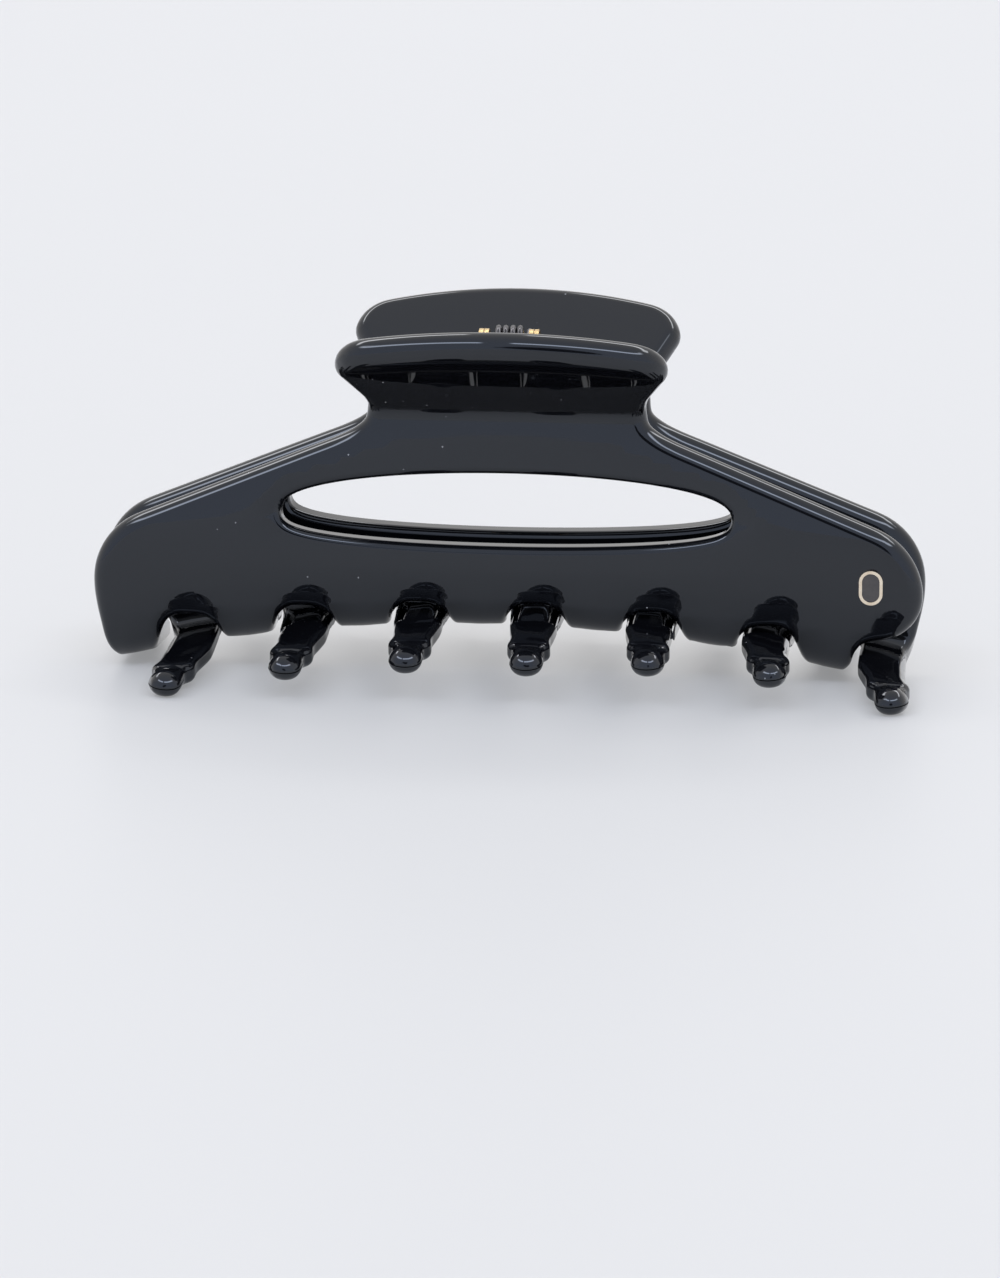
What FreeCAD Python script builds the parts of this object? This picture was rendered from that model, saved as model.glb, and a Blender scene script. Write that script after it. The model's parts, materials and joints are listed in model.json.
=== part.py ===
import FreeCAD, Part

import math
import os

from FreeCAD import Placement, Rotation, Vector

# A large hair claw clip. Two identical halves are cut from flat sheet and bent
# about axes along X: a thumb tab flares out at the top, a slotted panel hangs
# below it, and seven claws curl inwards at the bottom and pass between the
# other half's claws. A sprung metal hinge sits between the two tabs.
#
# Frame: X along the clip, -Y towards the front half, +Z up, origin on the
# floor under the middle of the clip. Millimetres.

os.makedirs("parts", exist_ok=True)
doc = FreeCAD.newDocument("hair_claw_clip")

# ---------------------------------------------------------------- dimensions

DIMENSIONS = [
    # the bent sheet, measured on its middle surface
    ("sheet_thickness", 4.0),
    ("pin_height", 43.6),
    ("corner_below_pin", 6.75),
    ("corner_out", 2.95),
    ("flare_angle", 51.2),
    ("tab_length", 17.9),
    ("neck_bend_radius", 4.0),
    ("panel_tilt", 6.0),
    ("panel_straight", 15.4),
    ("bow_radius", 40.0),
    ("bow_turn", 14.0),
    ("bow_to_curl", 0.2),
    ("curl_radius", 4.0),
    ("finger_radius", 200.0),
    ("finger_thickness", 3.1),
    ("nose_thickness", 3.0),
    ("tip_reach", 20.0),
    # the outline seen from the front
    ("half_length", 55.0),
    ("neck_half", 18.3),
    ("tab_half", 21.8),
    ("tab_crown_radius", 66.0),
    ("tab_corner_radius", 5.6),
    ("arm_slope", 22.6),
    ("arm_start_out", 25.2),
    ("arm_start_drop", 12.2),
    ("arm_end_radius", 9.8),
    ("arm_end_drop", 31.2),
    ("arm_end_bulge", 57.0),
    ("neck_knee_drop", 1.2),
    ("neck_hollow_out", 2.6),
    ("neck_hollow_drop", 3.7),
    ("tab_foot_up", 0.3),
    ("left_foot_out", 3.2),
    ("left_foot_drop", 42.5),
    ("right_fillet", 3.0),
    ("slot_half", 29.8),
    ("slot_top_drop", 16.0),
    ("slot_bottom_drop", 25.3),
    ("slot_end_drop", 21.2),
    ("slot_bottom_power", 0.62),
    ("trim_margin", 1.0),
    # the claws
    ("claw_pitch", 15.3),
    ("claw_count", 7),
    ("gap_width", 8.3),
    ("gap_top_drop", 32.8),
    ("gap_corner_radius", 1.8),
    ("arch_fall", 0.0024),
    ("arch_centre", -3.0),
    ("gap_arch_fall", 0.0018),
    ("claw_plan_start", -1.4),
    ("claw_root_width", 6.8),
    ("nose_width", 4.5),
    ("fan_out", 0.045),
    ("fan_start", 7.0),
    # the hinge
    ("leaf_width", 17.0),
    ("leaf_height", 5.3),
    ("leaf_thickness", 0.7),
    ("leaf_start", 0.4),
    ("leaf_corner", 1.5),
    ("ear_thickness", 0.6),
    ("ear_radius", 2.7),
    ("ear_foot", 4.6),
    ("front_ear_out", 2.65),
    ("back_ear_out", 3.35),
    ("pin_radius", 0.8),
    ("running_clearance", 0.05),
    ("pin_head_radius", 1.5),
    ("pin_head_thickness", 0.8),
    ("pin_end_play", 0.08),
    ("pin_in_head", 0.3),
    ("cap_end", 0.7),
    ("wire_radius", 0.45),
    ("coil_radius", 2.75),
    ("coil_pitch", 0.95),
    ("coil_turns", 4),
    ("leg_length", 7.0),
    ("leg_gap", 0.03),
    ("screw_radius", 0.7),
    ("screw_head_radius", 1.25),
    ("screw_head_height", 0.6),
    ("screw_depth", 2.6),
    ("screw_in_head", 0.1),
    ("screw_spread", 6.0),
    ("screw_up", 3.3),
    # the badge
    ("badge_width", 3.1),
    ("badge_height", 4.7),
    ("badge_thickness", 1.0),
    ("badge_seat", 0.5),
    ("badge_rim", 0.4),
    ("badge_fill", 0.7),
    ("badge_out", 48.2),
    ("badge_drop", 29.3),
]

# How far the underside of each claw's nose is below the pin, from the left end
# of the front half to its right end. The outermost claws reach the floor.
NOSE_DROPS = [43.6, 40.4, 39.3, 39.7, 39.7, 41.0, 43.6]

# How wide a claw is at each place from front to back, seen from above: it keeps
# its width through the other half, narrows to a waist, swells to a shoulder and
# steps in to the nose.
CLAW_WIDTHS = [
    (4.0, 6.7), (7.0, 6.5), (9.5, 5.7), (11.3, 5.2),
    (12.8, 5.4), (13.8, 5.8), (14.5, 5.7), (15.1, 4.1),
]

sheet = doc.addObject("Spreadsheet::Sheet", "dimensions")
for row, (alias, value) in enumerate(DIMENSIONS, start=1):
    sheet.set("A%d" % row, alias)
    sheet.set("B%d" % row, str(value))
    sheet.setAlias("B%d" % row, alias)
doc.recompute()


def dim(alias):
    return float(sheet.get(alias))


THICK = dim("sheet_thickness")
HALF_THICK = THICK / 2
FLARE = math.radians(dim("flare_angle"))
TILT = math.radians(dim("panel_tilt"))
PITCH = dim("claw_pitch")
CLAWS = int(dim("claw_count"))
LIFT = Vector(0, 0, dim("pin_height"))
# How far the middle of a quarter circle of radius 1 is from its square's sides.
CORNER_INSET = 1 - math.cos(math.radians(45))
# How many straight shares the slot's upper and lower edges are computed at.
SLOT_STEPS = 24

# The pin's axis is the local origin of every shape below, and each placement
# lifts its shape to the pin's height. The corner is where the middle surfaces
# of the front tab and the front panel would meet without the neck bend.
CORNER = Vector(0, -dim("corner_out"), -dim("corner_below_pin"))
TAB_UP = Vector(0, -math.sin(FLARE), math.cos(FLARE))
TAB_IN = Vector(0, math.cos(FLARE), math.sin(FLARE))
NECK_TURN = FLARE + TILT
NECK_TANGENT = dim("neck_bend_radius") * math.tan(NECK_TURN / 2)


# ------------------------------------------------------------------- helpers


def add_shape(name, shape):
    """A plain shape computed from the sheet's sizes."""
    feature = doc.addObject("Part::Feature", name)
    feature.Shape = shape
    return feature


def extrude(name, base, direction, length_expression):
    """The base face pushed both ways along a direction."""
    solid = doc.addObject("Part::Extrusion", name)
    solid.Base = base
    solid.DirMode = "Custom"
    solid.Dir = direction
    solid.Symmetric = True
    solid.Solid = True
    solid.setExpression("LengthFwd", length_expression)
    return solid


def combine(kind, name, shapes):
    """A fuse or a common of several objects."""
    result = doc.addObject(kind, name)
    result.Shapes = shapes
    return result


def cut(name, base, tool):
    result = doc.addObject("Part::Cut", name)
    result.Base = base
    result.Tool = tool
    return result


def face_of(edges):
    return Part.Face(Part.Wire(Part.__sortEdges__(edges)))


def cylinder(name, radius_expression, height_expression, placement):
    """A cylinder along its placement's own Z."""
    solid = doc.addObject("Part::Cylinder", name)
    solid.setExpression("Radius", radius_expression)
    solid.setExpression("Height", height_expression)
    solid.Placement = placement
    return solid


ALONG_X = Rotation(Vector(0, 0, 1), Vector(1, 0, 0))
HALF_TURN = Rotation(Vector(0, 0, 1), 180)


# ---------------------------------------------------------- the bent profile


class SheetPath:
    """Walks the middle surface in the YZ plane and keeps both faces' edges."""

    def __init__(self, start, heading):
        self.point = start
        self.heading = heading
        self.half = HALF_THICK
        self.left = []
        self.right = []

    def direction(self):
        return Vector(0, math.cos(self.heading), math.sin(self.heading))

    def normal(self):
        return Vector(0, -math.sin(self.heading), math.cos(self.heading))

    def side(self, sign):
        return self.point + self.normal() * (sign * self.half)

    def line(self, length):
        starts = self.side(1), self.side(-1)
        self.point = self.point + self.direction() * length
        self.left.append(Part.makeLine(starts[0], self.side(1)))
        self.right.append(Part.makeLine(starts[1], self.side(-1)))

    def arc(self, radius, turn, end_half=None):
        """A bend; a positive turn curls towards the left face."""
        centre = self.point + self.normal() * math.copysign(radius, turn)
        arm = self.point - centre
        heading = self.heading
        half = self.half
        change = (end_half or half) - half
        stops = [(self.side(1), self.side(-1))]
        for share in (0.5, 1.0):
            rotation = Rotation(Vector(1, 0, 0), math.degrees(turn * share))
            self.point = centre + rotation.multVec(arm)
            self.heading = heading + turn * share
            self.half = half + change * share
            stops.append((self.side(1), self.side(-1)))
        first, middle, last = stops
        self.left.append(Part.Arc(first[0], middle[0], last[0]).toShape())
        self.right.append(Part.Arc(first[1], middle[1], last[1]).toShape())

    def close(self, start_cap, end_cap):
        edges = [start_cap] + self.left + [end_cap] + self.right
        return Part.Wire(Part.__sortEdges__(edges))

    def round_cap(self):
        nose = self.point + self.direction() * self.half
        return Part.Arc(self.side(1), nose, self.side(-1)).toShape()

    def flat_cap(self):
        return Part.makeLine(self.side(1), self.side(-1))


def arch_drop(x):
    """How much lower the claws start away from the clip's middle."""
    return dim("arch_fall") * (x - dim("arch_centre")) ** 2


def finger_end(centre, slope, length):
    """Where a finger ends that leaves the curl at a given slope."""
    curl = dim("curl_radius")
    bend = dim("finger_radius")
    start_y = centre.y - curl * math.sin(slope)
    start_z = centre.z - curl * math.cos(slope)
    end_slope = slope + length / bend
    end_y = start_y + bend * (math.sin(end_slope) - math.sin(slope))
    end_z = start_z - bend * (math.cos(slope) - math.cos(end_slope))
    return end_y, end_z


def finger_shape(centre, nose_drop):
    """The slope and the length that bring the nose to its reach and height."""
    nose = dim("nose_thickness") / 2
    wanted_y = dim("tip_reach") - nose
    wanted_z = nose - nose_drop
    slope = 0.1
    length = 20.0
    for attempt in range(60):
        end_y, end_z = finger_end(centre, slope, length)
        length += (wanted_y - end_y) * 0.9
        slope += (end_z - wanted_z) / 30
    return slope, length


def tab_and_panel_wire():
    """The upper side view, made of flats and one round bend."""
    path = SheetPath(CORNER + TAB_UP * dim("tab_length"), FLARE - math.pi / 2)
    cap = path.flat_cap()
    path.line(dim("tab_length") - NECK_TANGENT)
    path.arc(dim("neck_bend_radius"), -NECK_TURN)
    path.line(dim("panel_straight") - NECK_TANGENT)
    return path.close(cap, path.flat_cap())


def bow_path():
    """Starts where the upper side view ends and bows inwards."""
    down = Vector(0, -math.sin(TILT), -math.cos(TILT))
    return SheetPath(CORNER + down * dim("panel_straight"), -TILT - math.pi / 2)


def bow_and_claw_wire(x, arch_x, nose_drop):
    """The lower side view at one place along the clip, ending in a nose."""
    path = bow_path()
    cap = path.flat_cap()
    path.arc(dim("bow_radius"), math.radians(dim("bow_turn")))
    path.line(arch_drop(arch_x) + dim("bow_to_curl"))
    centre = path.point + path.normal() * dim("curl_radius")
    slope, length = finger_shape(centre, nose_drop)
    path.arc(dim("curl_radius"), -slope - path.heading, dim("finger_thickness") / 2)
    path.arc(dim("finger_radius"), -length / dim("finger_radius"), dim("nose_thickness") / 2)
    wire = path.close(cap, path.round_cap())
    wire.translate(Vector(x, 0, 0))
    return wire


# ------------------------------------------------------------- the outlines


def tab_outline():
    """The tab seen square on: crowned top, round corners, sides that draw in."""
    length = dim("tab_length")
    crown = dim("tab_crown_radius")
    corner = dim("tab_corner_radius")
    wide = dim("tab_half")
    neck = dim("neck_half")
    corner_x = wide - corner
    slope = corner_x / (crown - corner)
    corner_up = length - crown + (crown - corner) * math.sqrt(1 - slope * slope)
    top = Vector(crown * slope, length - crown + crown * math.sqrt(1 - slope * slope), 0)
    side = Vector(wide, corner_up, 0)
    halfway = math.radians(40)
    shoulder = Vector(
        corner_x + corner * math.cos(halfway), corner_up + corner * math.sin(halfway), 0
    )
    low = Vector(neck, dim("tab_foot_up"), 0)
    foot = Vector(neck, -NECK_TANGENT * 2, 0)
    edges = [
        Part.Arc(flip(top), Vector(0, length, 0), top).toShape(),
        Part.Arc(top, shoulder, side).toShape(),
        Part.makeLine(side, low),
        Part.makeLine(low, foot),
        Part.makeLine(foot, flip(foot)),
        Part.makeLine(flip(foot), flip(low)),
        Part.makeLine(flip(low), flip(side)),
        Part.Arc(flip(side), flip(shoulder), flip(top)).toShape(),
    ]
    return face_of(edges)


def flip(point):
    return Vector(-point.x, point.y, point.z)


def at(x, drop):
    """A point of the front view, so far below the pin."""
    return Vector(x, 0, -drop)


def arm_edges(sign):
    """From the neck over the arm and round its end, on one side."""
    slope = math.radians(dim("arm_slope"))
    end = dim("arm_end_radius")
    end_x = dim("half_length") - end
    end_drop = dim("arm_end_drop")
    neck = dim("neck_half")
    start = at(sign * dim("arm_start_out"), dim("arm_start_drop"))
    far = at(sign * (end_x + end * math.sin(slope)), end_drop - end * math.cos(slope))
    bulge = math.radians(dim("arm_end_bulge"))
    shoulder = at(
        sign * (end_x + end * math.sin(bulge)), end_drop - end * math.cos(bulge)
    )
    tip = at(sign * dim("half_length"), end_drop)
    knee = at(sign * neck, dim("corner_below_pin") + dim("neck_knee_drop"))
    top = at(sign * neck, dim("corner_below_pin") - NECK_TANGENT * 2)
    hollow = at(
        sign * (neck + dim("neck_hollow_out")),
        dim("corner_below_pin") + dim("neck_hollow_drop"),
    )
    return [
        Part.makeLine(top, knee),
        Part.Arc(knee, hollow, start).toShape(),
        Part.makeLine(start, far),
        Part.Arc(far, shoulder, tip).toShape(),
    ]


def claw_places():
    """The claws' centres along X, half a pitch off the clip's middle."""
    first = -(CLAWS - 1) / 2 * PITCH - PITCH / 4
    return [first + PITCH * number for number in range(CLAWS)]


def gap_crest(x):
    """How far the top of the space between two claws is below the pin."""
    return dim("gap_top_drop") + dim("gap_arch_fall") * (x - dim("arch_centre")) ** 2


def gap_top(left, right, crest):
    """Up one side of a space between claws, over its round corners and down."""
    corner = dim("gap_corner_radius")
    bulge = corner * CORNER_INSET
    left_up = at(left.x, crest + corner)
    left_over = at(left.x + corner, crest)
    right_over = at(right.x - corner, crest)
    right_up = at(right.x, crest + corner)
    return [
        Part.makeLine(left, left_up),
        Part.Arc(left_up, at(left.x + bulge, crest + bulge), left_over).toShape(),
        Part.makeLine(left_over, right_over),
        Part.Arc(right_over, at(right.x - bulge, crest + bulge), right_up).toShape(),
        Part.makeLine(right_up, right),
    ]


def body_outline():
    """The panel and arms seen from the front, with the claws' columns."""
    # deeper than any claw, whose lower end the bent sheet itself decides
    below = dim("pin_height") + dim("tip_reach")
    half_gap = dim("gap_width") / 2
    places = claw_places()
    edges = arm_edges(-1) + arm_edges(1)
    top_drop = dim("corner_below_pin") - NECK_TANGENT * 2
    neck = dim("neck_half")
    edges.append(Part.makeLine(at(-neck, top_drop), at(neck, top_drop)))
    # the left end runs down into the first claw
    outer = at(places[0] - dim("claw_root_width") / 2, below)
    left_tip = at(-dim("half_length"), dim("arm_end_drop"))
    side_foot = at(places[0] - dim("left_foot_out"), dim("left_foot_drop"))
    edges.append(Part.makeLine(left_tip, side_foot))
    edges.append(Part.makeLine(side_foot, outer))
    last = outer
    for place in places[:-1]:
        gap = place + PITCH / 2
        crest = gap_crest(gap)
        left = at(gap - half_gap, below)
        right = at(gap + half_gap, below)
        edges.append(Part.makeLine(last, left))
        edges += gap_top(left, right, crest)
        last = right
    # the right end stops above the other half's outermost claw
    fillet = dim("right_fillet")
    side = places[-1] + PITCH / 2 - half_gap
    crest = gap_crest(side)
    foot = at(side, below)
    inner_up = at(side, crest + fillet)
    inner_top = at(side + fillet, crest)
    bend = fillet * CORNER_INSET
    edges.append(Part.makeLine(last, foot))
    edges.append(Part.makeLine(foot, inner_up))
    edges.append(Part.Arc(inner_up, at(side + bend, crest + bend), inner_top).toShape())
    right_tip = at(dim("half_length"), dim("arm_end_drop"))
    rise = crest - dim("arm_end_drop")
    near_end = at(dim("half_length") - rise, crest)
    edges.append(Part.makeLine(inner_top, near_end))
    inset = rise * CORNER_INSET
    middle = at(dim("half_length") - inset, crest - inset)
    edges.append(Part.Arc(near_end, middle, right_tip).toShape())
    return face_of(edges)


def slot_outline():
    """The long slot: an arched top over a flatter, sagging bottom."""
    half = dim("slot_half")
    top = dim("slot_top_drop")
    bottom = dim("slot_bottom_drop")
    end = dim("slot_end_drop")
    low = bottom - end
    rise = end - top
    upper = []
    for step in range(SLOT_STEPS + 1):
        angle = math.pi * step / SLOT_STEPS
        upper.append(at(half * math.cos(angle), end - rise * math.sin(angle)))
    lower = []
    for step in range(SLOT_STEPS + 1):
        angle = math.pi * (1 + step / SLOT_STEPS)
        flat = abs(math.sin(angle)) ** dim("slot_bottom_power")
        lower.append(at(half * math.cos(angle), end + low * flat))
    edges = []
    for points in (upper, lower):
        curve = Part.BSplineCurve()
        curve.interpolate(points)
        edges.append(curve.toShape())
    return face_of(edges)


def claw_sides(x):
    """One claw seen from above: left and right edge points, root to nose."""
    reach = dim("tip_reach") - dim("nose_width") / 2
    widths = [(dim("claw_plan_start"), dim("claw_root_width"))]
    widths += CLAW_WIDTHS
    widths.append((reach, dim("nose_width")))
    left = [Vector(fan_x(x, y) - width / 2, y, 0) for y, width in widths]
    right = [Vector(fan_x(x, y) + width / 2, y, 0) for y, width in widths]
    return left, right


def plan_outline():
    """Seen from above: everything up to the panel, then seven claws."""
    wide = dim("half_length") + 2 * dim("trim_margin")
    start = dim("claw_plan_start")
    reach = dim("tip_reach")
    edges = [
        Part.makeLine(Vector(-wide, start, 0), Vector(-wide, -reach * 2, 0)),
        Part.makeLine(Vector(-wide, -reach * 2, 0), Vector(wide, -reach * 2, 0)),
        Part.makeLine(Vector(wide, -reach * 2, 0), Vector(wide, start, 0)),
    ]
    last = Vector(-wide, start, 0)
    for x in claw_places():
        left, right = claw_sides(x)
        edges.append(Part.makeLine(last, left[0]))
        for side in (left, right):
            for near, far in zip(side, side[1:]):
                edges.append(Part.makeLine(near, far))
        tip = Vector(fan_x(x, reach), reach, 0)
        edges.append(Part.Arc(left[-1], tip, right[-1]).toShape())
        last = right[0]
    edges.append(Part.makeLine(last, Vector(wide, start, 0)))
    return face_of(edges)


def fan_x(x, y):
    """Claws lean away from the middle once they are past the other half."""
    start = dim("fan_start")
    share = max(0.0, (y - start) / (dim("tip_reach") - start))
    return x * (1 + dim("fan_out") * share)


# ------------------------------------------------------------------ the jaws


def make_jaw_blank(prefix):
    """One bent half without its screw holes, in the front half's position."""
    half_claw = dim("claw_root_width") / 2
    views = []
    for x, drop in zip(claw_places(), NOSE_DROPS):
        views.append(bow_and_claw_wire(x - half_claw, x, drop))
        views.append(bow_and_claw_wire(x + half_claw, x, drop))
    end = dim("half_length") + dim("trim_margin")
    views.insert(0, bow_and_claw_wire(-end, -end, NOSE_DROPS[0]))
    views.append(bow_and_claw_wire(end, end, NOSE_DROPS[-1]))
    lower = add_shape(prefix + "_lower", Part.makeLoft(views, True, True))
    upper_face = add_shape(prefix + "_upper_face", Part.Face(tab_and_panel_wire()))
    upper = extrude(
        prefix + "_upper",
        upper_face,
        Vector(1, 0, 0),
        "(dimensions.half_length + dimensions.trim_margin) * 2",
    )
    ribbon = combine("Part::MultiFuse", prefix + "_ribbon", [upper, lower])
    tab = add_shape(prefix + "_tab_outline", tab_outline())
    tab.Placement = Placement(CORNER, Rotation(Vector(1, 0, 0), TAB_UP, TAB_IN, "XYZ"))
    tab_prism = extrude(
        prefix + "_tab_prism", tab, TAB_IN, "dimensions.sheet_thickness * 3"
    )
    body = add_shape(prefix + "_body_outline", body_outline())
    body_prism = extrude(
        prefix + "_body_prism", body, Vector(0, 1, 0), "dimensions.tip_reach * 3"
    )
    outlines = combine("Part::MultiFuse", prefix + "_outlines", [tab_prism, body_prism])
    plan = add_shape(prefix + "_plan_outline", plan_outline())
    plan_prism = extrude(
        prefix + "_plan_prism", plan, Vector(0, 0, 1), "dimensions.pin_height * 3"
    )
    blank = combine("Part::MultiCommon", prefix + "_blank", [ribbon, outlines, plan_prism])
    slot = extrude(
        prefix + "_slot",
        add_shape(prefix + "_slot_outline", slot_outline()),
        Vector(0, 1, 0),
        "dimensions.tip_reach",
    )
    return cut(prefix + "_slotted", blank, slot)


def leaf_place(along, up, out):
    """A point on the front tab's inner face, from the foot of the pin."""
    to_face = CORNER.dot(TAB_IN) + HALF_THICK
    return Vector(along, 0, 0) + TAB_UP * up + TAB_IN * (to_face + out)


def screw_holes(prefix):
    """Blind pilot holes under the leaf."""
    holes = []
    for sign in (-1, 1):
        start = leaf_place(
            sign * dim("screw_spread"), dim("screw_up"), -dim("screw_depth")
        )
        place = Placement(start, Rotation(Vector(0, 0, 1), TAB_IN))
        name = "%s_hole_%s" % (prefix, "left" if sign < 0 else "right")
        holes.append(
            cylinder(name, "dimensions.screw_radius", "dimensions.screw_depth * 2", place)
        )
    return combine("Part::MultiFuse", prefix + "_holes", holes)


def badge_place():
    """The middle of the badge's seat on the outer face of the right arm."""
    path = bow_path()
    path.arc(dim("bow_radius"), (path.point.z + dim("badge_drop")) / dim("bow_radius"))
    outer = path.side(-1)
    out = path.normal() * -1
    up = path.direction() * -1
    centre = Vector(dim("badge_out"), outer.y, outer.z)
    return Placement(centre, Rotation(Vector(1, 0, 0), up, out, "XYZ"))


def badge_blank(name, inset_expression, height_expression, below_expression):
    """A plate with round ends that stands on the badge's seat."""
    plate = doc.addObject("Part::Box", name + "_plate")
    plate.setExpression("Length", "dimensions.badge_width - 2 * (%s)" % inset_expression)
    plate.setExpression("Width", "dimensions.badge_height - dimensions.badge_width")
    plate.setExpression("Height", height_expression)
    ends = []
    for end in (-1, 1):
        disc = doc.addObject("Part::Cylinder", "%s_end_%d" % (name, end + 1))
        disc.setExpression("Radius", "dimensions.badge_width / 2 - (%s)" % inset_expression)
        disc.setExpression("Height", height_expression)
        ends.append((disc, end))
    doc.recompute()
    seat = badge_place()
    below = float(sheet.evalExpression(below_expression))
    plate.Placement = seat.multiply(
        Placement(Vector(-plate.Length.Value / 2, -plate.Width.Value / 2, below), Rotation())
    )
    for disc, end in ends:
        offset = Vector(0, end * plate.Width.Value / 2, below)
        disc.Placement = seat.multiply(Placement(offset, Rotation()))
    return combine("Part::MultiFuse", name, [plate] + [disc for disc, end in ends])


def finish_jaw(prefix, label, tools, placement):
    jaw = make_jaw_blank(prefix)
    for number, tool in enumerate(tools):
        jaw = cut("%s_cut_%d" % (prefix, number + 1), jaw, tool)
    jaw.Label = label
    jaw.Placement = placement
    return jaw


FRONT = Placement(LIFT, Rotation())
BACK = Placement(LIFT, HALF_TURN)

badge_seat = badge_blank(
    "badge_seat", "0", "dimensions.badge_thickness", "-dimensions.badge_seat"
)
front_jaw = finish_jaw("front", "front_jaw", [screw_holes("front"), badge_seat], FRONT)
back_jaw = finish_jaw("back", "back_jaw", [screw_holes("back")], BACK)


# ----------------------------------------------------------------- the hinge


def ear(prefix, sign, out_alias, bore_expression):
    """A knuckle bent up from the leaf, with a bore for the pin."""
    inner = dim(out_alias)
    thick = dim("ear_thickness")
    x = inner if sign > 0 else -inner - thick
    radius = dim("ear_radius")
    foot_low = leaf_place(x, dim("leaf_start"), 0)
    foot_high = leaf_place(x, dim("ear_foot"), 0)
    middle = (foot_low + foot_high) * 0.5
    axis = Vector(x, 0, 0)
    toward = (axis - middle).normalize()
    across = Vector(0, toward.z, -toward.y) * radius
    if across.dot(TAB_UP) < 0:
        across = across * -1
    top = axis + toward * radius
    edges = [
        Part.makeLine(foot_low, foot_high),
        Part.makeLine(foot_high, axis + across),
        Part.Arc(axis + across, top, axis - across).toShape(),
        Part.makeLine(axis - across, foot_low),
    ]
    name = "%s_ear_%s" % (prefix, "left" if sign < 0 else "right")
    face = add_shape(name + "_outline", face_of(edges))
    plate = doc.addObject("Part::Extrusion", name + "_plate")
    plate.Base = face
    plate.DirMode = "Custom"
    plate.Dir = Vector(1, 0, 0)
    plate.Solid = True
    plate.setExpression("LengthFwd", "dimensions.ear_thickness")
    bore = cylinder(
        name + "_bore",
        bore_expression,
        "dimensions.ear_thickness * 3",
        Placement(Vector(x - thick, 0, 0), ALONG_X),
    )
    return cut(name, plate, bore)


def make_leaf(prefix, label, out_alias, bore_expression, placement):
    """A stamped plate on the tab's inner face with two ears."""
    plate = doc.addObject("Part::Box", prefix + "_leaf_plate")
    plate.setExpression("Length", "dimensions.leaf_width")
    plate.setExpression("Width", "dimensions.leaf_height")
    plate.setExpression("Height", "dimensions.leaf_thickness")
    corner = leaf_place(dim("leaf_width") / 2, dim("leaf_start"), 0)
    plate.Placement = Placement(
        corner, Rotation(Vector(-1, 0, 0), TAB_UP, TAB_IN, "XYZ")
    )
    rounded = doc.addObject("Part::Fillet", prefix + "_leaf_rounded")
    rounded.Base = plate
    doc.recompute()
    upright = []
    for number, edge in enumerate(plate.Shape.Edges, start=1):
        along = edge.tangentAt(edge.FirstParameter)
        if abs(abs(along.dot(TAB_IN)) - 1) < 1e-6:
            upright.append((number, dim("leaf_corner"), dim("leaf_corner")))
    rounded.Edges = upright
    ears = [ear(prefix, sign, out_alias, bore_expression) for sign in (-1, 1)]
    solid = combine("Part::MultiFuse", prefix + "_leaf_solid", [rounded] + ears)
    holes = []
    for sign in (-1, 1):
        start = leaf_place(
            sign * dim("screw_spread"), dim("screw_up"), -dim("leaf_thickness")
        )
        name = "%s_leaf_hole_%s" % (prefix, "left" if sign < 0 else "right")
        place = Placement(start, Rotation(Vector(0, 0, 1), TAB_IN))
        holes.append(
            cylinder(name, "dimensions.screw_radius", "dimensions.leaf_thickness * 3", place)
        )
    leaf = cut(
        prefix + "_leaf",
        solid,
        combine("Part::MultiFuse", prefix + "_leaf_holes", holes),
    )
    leaf.Label = label
    leaf.Placement = placement
    return leaf


def make_screws(prefix, label, placement):
    """Two self-tapping screws with low heads."""
    pieces = []
    for sign in (-1, 1):
        side = "left" if sign < 0 else "right"
        turn = Rotation(Vector(0, 0, 1), TAB_IN)
        along = sign * dim("screw_spread")
        shank_start = leaf_place(along, dim("screw_up"), -dim("screw_depth"))
        shank = cylinder(
            "%s_shank_%s" % (prefix, side),
            "dimensions.screw_radius",
            "dimensions.screw_depth + dimensions.leaf_thickness + dimensions.screw_in_head",
            Placement(shank_start, turn),
        )
        head_start = leaf_place(along, dim("screw_up"), dim("leaf_thickness"))
        head = cylinder(
            "%s_head_%s" % (prefix, side),
            "dimensions.screw_head_radius",
            "dimensions.screw_head_height",
            Placement(head_start, turn),
        )
        pieces.append(combine("Part::MultiFuse", "%s_screw_%s" % (prefix, side), [shank, head]))
    group = doc.addObject("Part::Compound", prefix + "_screws")
    group.Links = pieces
    group.Label = label
    group.Placement = placement
    return group


def make_pin():
    """Headed pin, fixed in the front leaf's ears."""
    inner = dim("back_ear_out") + dim("ear_thickness") + dim("pin_end_play")
    reach = inner + dim("pin_head_thickness")
    shaft = cylinder(
        "pin_shaft",
        "dimensions.pin_radius",
        "2 * (dimensions.back_ear_out + dimensions.ear_thickness + dimensions.pin_end_play)"
        " + dimensions.pin_head_thickness + 2 * dimensions.pin_in_head",
        Placement(Vector(-inner - dim("pin_in_head"), 0, 0), ALONG_X),
    )
    head = cylinder(
        "pin_head",
        "dimensions.pin_head_radius",
        "dimensions.pin_head_thickness",
        Placement(Vector(-reach, 0, 0), ALONG_X),
    )
    pin = combine("Part::MultiFuse", "pin", [shaft, head])
    pin.Label = "hinge_pin"
    pin.Placement = FRONT
    return pin


def make_cap():
    """Push-on cap at the pin's plain end."""
    inner = dim("back_ear_out") + dim("ear_thickness") + dim("pin_end_play")
    body = cylinder(
        "cap_body",
        "dimensions.pin_head_radius",
        "dimensions.pin_head_thickness + dimensions.cap_end",
        Placement(Vector(inner, 0, 0), ALONG_X),
    )
    bore = cylinder(
        "cap_bore",
        "dimensions.pin_radius",
        "dimensions.pin_head_thickness + dimensions.pin_in_head",
        Placement(Vector(inner, 0, 0), ALONG_X),
    )
    cap = cut("cap", body, bore)
    cap.Label = "pin_cap"
    cap.Placement = FRONT
    return cap


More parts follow.
